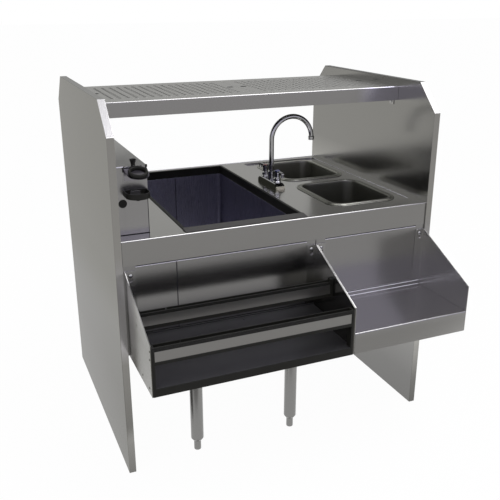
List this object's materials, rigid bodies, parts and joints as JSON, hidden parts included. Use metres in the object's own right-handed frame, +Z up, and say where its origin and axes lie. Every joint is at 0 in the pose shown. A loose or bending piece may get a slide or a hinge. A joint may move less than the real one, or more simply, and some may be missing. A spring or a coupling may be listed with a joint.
{
  "type": "bar sink with ice bin",
  "caption": "Stainless pass-through cocktail station with end panels, overshelf, insulated ice bin, small bar sinks, gooseneck faucet, hung speed rail and landing.",
  "frame": {"origin": "on the floor under the middle of the outline of the whole station", "axes": "+X to the right as the bartender faces it, +Y to the back, +Z up"},
  "size_m": [1.0668, 1.0588, 1.143],
  "materials": {
    "end_sheet": "satin stainless sheet, brushed upright",
    "liner_sheet": "satin stainless sheet, brushed upright",
    "deck_sheet": "satin stainless sheet, brushed along the width",
    "panel_sheet": "satin stainless sheet, brushed along the width",
    "back_sheet": "galvanized steel sheet",
    "frame_channel": "galvanized steel channel",
    "collar_plastic": "black moulded plastic",
    "bin_sheet": "satin stainless sheet in shade",
    "foam": "rigid polyurethane foam",
    "jacket_sheet": "galvanized steel sheet",
    "grate_sheet": "perforated stainless sheet",
    "drain_brass": "plated brass",
    "bowl_front_steel": "drawn stainless bowl, satin",
    "bowl_rear_steel": "drawn stainless bowl, satin",
    "sink_drain_metal": "stainless drain",
    "faucet_body_chrome": "polished chrome plate",
    "bonnet_chrome": "polished chrome plate",
    "shank_brass": "plain brass",
    "spout_chrome": "polished chrome plate",
    "nut_chrome": "polished chrome plate",
    "aerator_chrome": "polished chrome plate",
    "handle_chrome": "polished chrome plate",
    "red_index": "red plastic button",
    "blue_index": "blue plastic button",
    "shelf_sheet": "satin stainless sheet, brushed along the width",
    "insert_left_sheet": "perforated stainless sheet",
    "insert_right_sheet": "perforated stainless sheet",
    "cleat_sheet": "folded stainless angle",
    "screw_steel": "stainless screws",
    "socket_metal": "galvanized steel",
    "leg_tube": "satin stainless tube",
    "foot_steel": "turned stainless foot",
    "rail_bracket_sheet": "satin stainless sheet",
    "rail_black": "black moulded plastic",
    "rail_floor_black": "black powder-coated steel",
    "strip_sheet": "satin stainless strip",
    "rivet_steel": "stainless rivets",
    "landing_sheet": "satin stainless sheet",
    "landing_bracket_sheet": "satin stainless sheet",
    "bolt_steel": "stainless bolts with domed heads",
    "chase_sheet": "satin stainless sheet",
    "holster_sheet": "satin stainless plate",
    "ring_plastic": "black moulded plastic",
    "cup_plastic": "black moulded plastic",
    "plug_plastic": "black moulded plastic",
    "funnel_plastic": "black moulded plastic"
  },
  "bodies": {
    "station": {"left_end_pan": "end_sheet", "left_end_liner": "liner_sheet", "right_end_pan": "end_sheet", "right_end_liner": "liner_sheet", "deck": "deck_sheet", "front_panel_left": "panel_sheet", "front_panel_middle": "panel_sheet", "front_panel_right": "panel_sheet", "back_panel": "back_sheet", "base_frame": "frame_channel", "bin_collar": "collar_plastic", "bin_liner": "bin_sheet", "bin_insulation": "foam", "bin_jacket": "jacket_sheet", "bin_drain": "drain_brass", "sink_bowl_front": "bowl_front_steel", "sink_bowl_rear": "bowl_rear_steel", "sink_drains": "sink_drain_metal", "faucet_base": "faucet_body_chrome", "valve_bonnets": "bonnet_chrome", "faucet_shanks": "shank_brass", "shelf_frame": "shelf_sheet", "shelf_cleats": "cleat_sheet", "shelf_screws": "screw_steel", "leg_sockets": "socket_metal", "legs": "leg_tube", "hanger_bolts": "bolt_steel", "chase_shell": "chase_sheet", "holster_bracket": "holster_sheet", "holster_ring": "ring_plastic", "cup_saddle": "holster_sheet", "hole_plug": "plug_plastic", "hose_funnel": "funnel_plastic", "edge_clip": "plug_plastic", "spout_nut": "nut_chrome"},
    "false_bottom": {"bin_false_bottom": "grate_sheet"},
    "spout": {"faucet_spout": "spout_chrome", "spout_aerator": "aerator_chrome"},
    "hot_lever": {"hot_handle": "handle_chrome", "hot_index": "red_index"},
    "cold_lever": {"cold_handle": "handle_chrome", "cold_index": "blue_index"},
    "insert_left": {"shelf_insert_left": "insert_left_sheet"},
    "insert_right": {"shelf_insert_right": "insert_right_sheet"},
    "levelling_foot_front_left": {"foot_front_left": "foot_steel"},
    "levelling_foot_front_right": {"foot_front_right": "foot_steel"},
    "levelling_foot_rear_left": {"foot_rear_left": "foot_steel"},
    "levelling_foot_rear_right": {"foot_rear_right": "foot_steel"},
    "speed_rail": {"rail_bracket_left": "rail_bracket_sheet", "rail_bracket_right": "rail_bracket_sheet", "rail_floor": "rail_floor_black", "rail_rear_shelf": "rail_floor_black", "rail_front_frame": "rail_black", "rail_rear_frame": "rail_black", "rail_strips": "strip_sheet", "rail_rivets": "rivet_steel"},
    "landing": {"landing_bracket_left": "landing_bracket_sheet", "landing_bracket_right": "landing_bracket_sheet", "landing_tray": "landing_sheet"},
    "cup": {"drip_cup": "cup_plastic"}
  },
  "joints": [
    {"name": "spout_swivel", "type": "hinge", "parent": "station", "child": "spout", "pos_m": [0.1371, 0.1356, 0.79], "axis": [0, 0, 1], "continuous": true},
    {"name": "hot_quarter_turn", "type": "hinge", "parent": "station", "child": "hot_lever", "pos_m": [0.1371, 0.1864, 0.805], "axis": [0, 0, 1], "range_deg": [0, 90]},
    {"name": "cold_quarter_turn", "type": "hinge", "parent": "station", "child": "cold_lever", "pos_m": [0.1371, 0.0848, 0.805], "axis": [0, 0, 1], "range_deg": [-90, 0]},
    {"name": "insert_left_lift", "type": "slide", "parent": "station", "child": "insert_left", "axis": [0, 0, 1], "range_m": [0, 0.15]},
    {"name": "insert_right_lift", "type": "slide", "parent": "station", "child": "insert_right", "axis": [0, 0, 1], "range_m": [0, 0.15]},
    {"name": "false_bottom_lift", "type": "slide", "parent": "station", "child": "false_bottom", "axis": [0, 0, 1], "range_m": [0, 0.2]},
    {"name": "rail_unhook", "type": "slide", "parent": "station", "child": "speed_rail", "axis": [0, 0, 1], "range_m": [0, 0.012]},
    {"name": "landing_unhook", "type": "slide", "parent": "station", "child": "landing", "axis": [0, 0, 1], "range_m": [0, 0.012]},
    {"name": "cup_lift", "type": "slide", "parent": "station", "child": "cup", "axis": [0, 0, 1], "range_m": [0, 0.02]},
    {"name": "foot_front_left_screw", "type": "slide", "parent": "station", "child": "levelling_foot_front_left", "axis": [0, 0, -1], "range_m": [0, 0.025]},
    {"name": "foot_front_right_screw", "type": "slide", "parent": "station", "child": "levelling_foot_front_right", "axis": [0, 0, -1], "range_m": [0, 0.025]},
    {"name": "foot_rear_left_screw", "type": "slide", "parent": "station", "child": "levelling_foot_rear_left", "axis": [0, 0, -1], "range_m": [0, 0.025]},
    {"name": "foot_rear_right_screw", "type": "slide", "parent": "station", "child": "levelling_foot_rear_right", "axis": [0, 0, -1], "range_m": [0, 0.025]}
  ]
}
